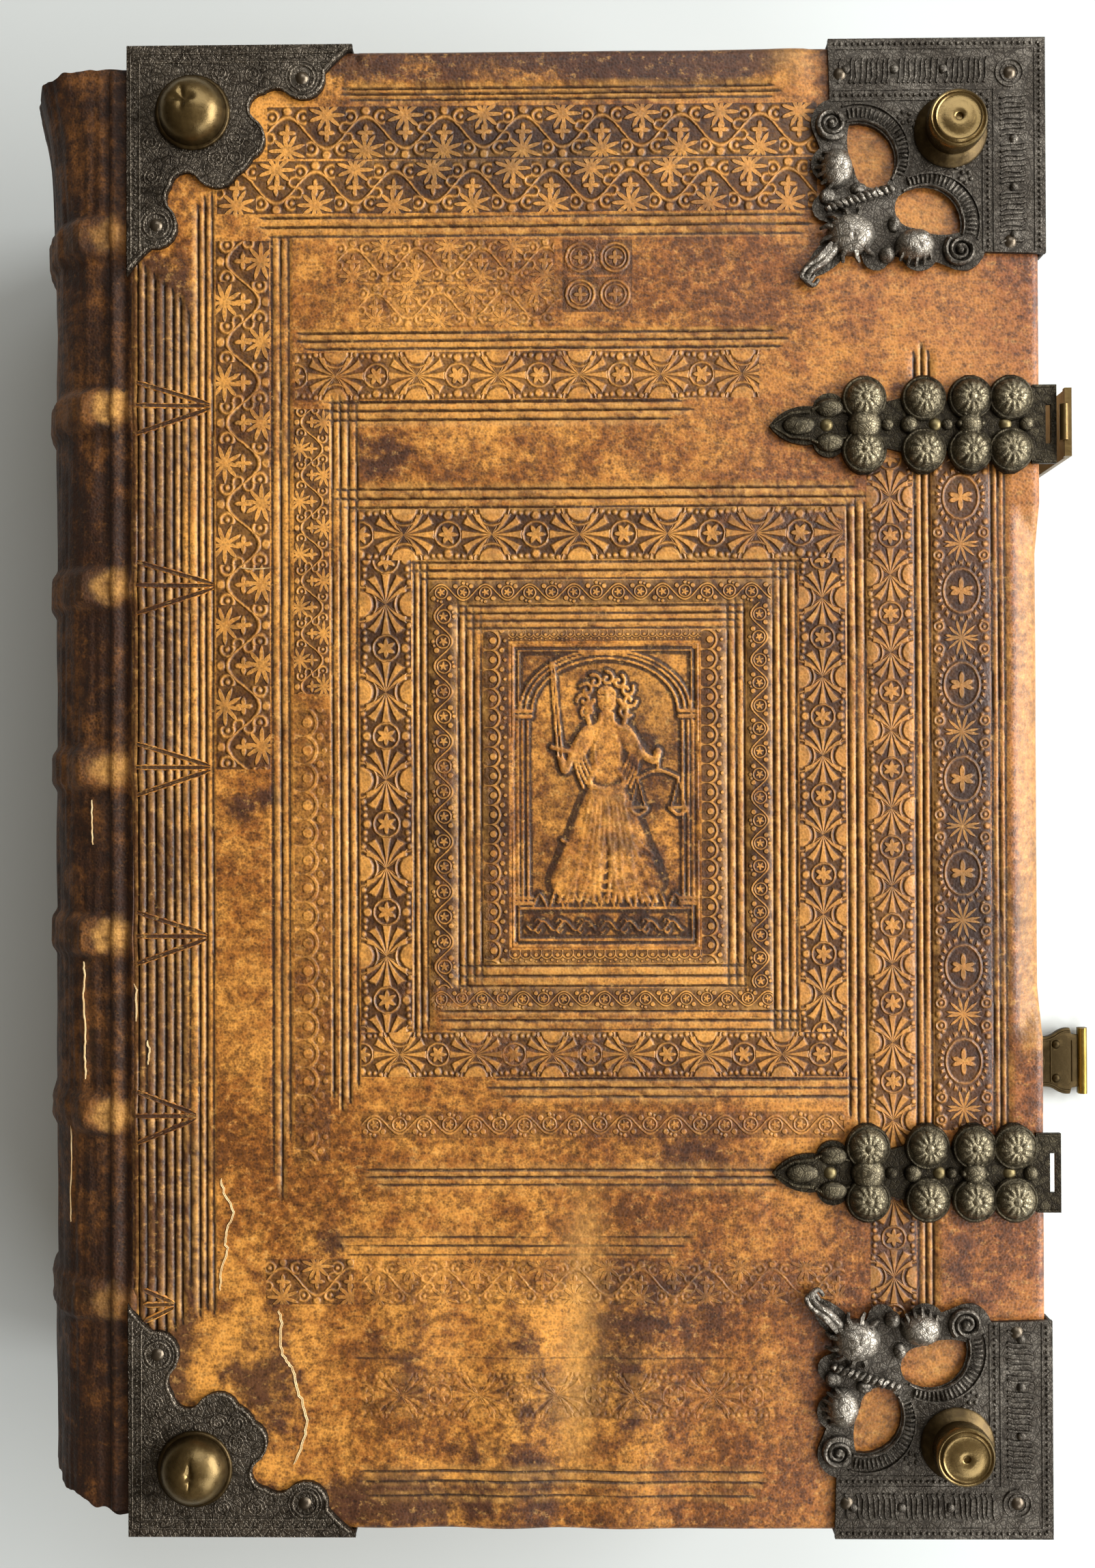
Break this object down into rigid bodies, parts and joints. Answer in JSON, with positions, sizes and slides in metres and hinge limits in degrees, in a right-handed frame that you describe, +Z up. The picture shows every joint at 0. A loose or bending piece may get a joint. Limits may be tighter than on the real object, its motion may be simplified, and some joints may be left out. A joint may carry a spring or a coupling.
{
  "type": "antique leather-bound book",
  "caption": "Large old book in blind-tooled leather over wooden boards, with metal corner plates, bosses, catches and clasps; both covers and the clasps turn on hinges.",
  "frame": {"origin": "middle of the whole footprint, on the surface that the back cover's bosses and the open clasp rest on", "axes": "+X from the spine to the fore-edge, +Y from the tail to the head, +Z up through the front cover"},
  "size_m": [0.3232, 0.3964, 0.1137],
  "materials": {
    "board_wood": "planed oak, aged",
    "cover_leather": "blind tooled, worn to a dull shine",
    "spine_leather": "worn and cracked",
    "pastedown_paper": "laid paper, foxed",
    "leaf_paper": "cut edges, browned",
    "lining_linen": "glued linen",
    "cord_hemp": "twisted hemp",
    "endband_thread": "linen thread over a core",
    "corner_bronze": "cast and chased, nearly black with age",
    "boss_brass": "turned, rubbed bright on top",
    "catch_bronze": "cast, greenish brown",
    "clasp_brass": "cast, dark",
    "bright_brass": "rubbed bright"
  },
  "bodies": {
    "back_cover": {"back_spine_head_plate": "corner_bronze", "back_spine_tail_plate": "corner_bronze", "back_fore_head_plate": "corner_bronze", "back_fore_tail_plate": "corner_bronze", "back_spine_head_boss": "boss_brass", "back_spine_tail_boss": "boss_brass", "back_fore_head_boss": "boss_brass", "back_fore_tail_boss": "boss_brass", "back_corner_nails": "bright_brass", "upper_clasp_anchor": "clasp_brass", "upper_anchor_rivets": "bright_brass", "upper_clasp_pin": "bright_brass", "lower_clasp_anchor": "clasp_brass", "lower_anchor_rivets": "bright_brass", "lower_clasp_pin": "bright_brass", "back_board": "board_wood", "back_leather": "cover_leather", "back_pastedown": "pastedown_paper"},
    "book_block": {"text_block": "leaf_paper", "spine_leather": "spine_leather", "spine_lining": "lining_linen", "head_endband": "endband_thread", "tail_endband": "endband_thread", "sewing_cord_1": "cord_hemp", "sewing_cord_2": "cord_hemp", "sewing_cord_3": "cord_hemp", "sewing_cord_4": "cord_hemp", "sewing_cord_5": "cord_hemp", "sewing_cord_6": "cord_hemp", "sewing_cord_7": "cord_hemp"},
    "front_cover": {"front_spine_head_plate": "corner_bronze", "front_spine_tail_plate": "corner_bronze", "front_fore_head_plate": "corner_bronze", "front_fore_tail_plate": "corner_bronze", "front_spine_head_boss": "boss_brass", "front_spine_tail_boss": "boss_brass", "front_fore_head_boss": "boss_brass", "front_fore_tail_boss": "boss_brass", "front_corner_nails": "bright_brass", "upper_catch_plate": "catch_bronze", "upper_catch_rivets": "bright_brass", "lower_catch_plate": "catch_bronze", "lower_catch_rivets": "bright_brass", "front_board": "board_wood", "front_leather": "cover_leather", "front_pastedown": "pastedown_paper"},
    "upper_link": {"upper_clasp_link": "clasp_brass", "upper_middle_pin": "bright_brass"},
    "upper_hook": {"upper_clasp_hook": "clasp_brass"},
    "lower_link": {"lower_clasp_link": "clasp_brass", "lower_bare_pin": "bright_brass"}
  },
  "joints": [
    {"name": "back_cover_hinge", "type": "hinge", "parent": "back_cover", "child": "book_block", "pos_m": [-0.13298, 0, 0.0087], "axis": [0, -1, 0], "range_deg": [0, 60]},
    {"name": "front_cover_hinge", "type": "hinge", "parent": "book_block", "child": "front_cover", "pos_m": [-0.13298, 0, 0.1029], "axis": [0, -1, 0], "range_deg": [0, 120]},
    {"name": "upper_clasp_hinge", "type": "hinge", "parent": "back_cover", "child": "upper_link", "pos_m": [0.11632, 0.0955, 0.0094], "axis": [0, 1, 0], "range_deg": [0, 99.8]},
    {"name": "upper_hook_hinge", "type": "hinge", "parent": "upper_link", "child": "upper_hook", "pos_m": [0.11632, 0.0955, 0.0534], "axis": [0, 1, 0], "range_deg": [-1.9, 90]},
    {"name": "lower_clasp_hinge", "type": "hinge", "parent": "back_cover", "child": "lower_link", "pos_m": [0.11632, -0.091, 0.0094], "axis": [0, 1, 0], "range_deg": [-99.8, 0]}
  ]
}
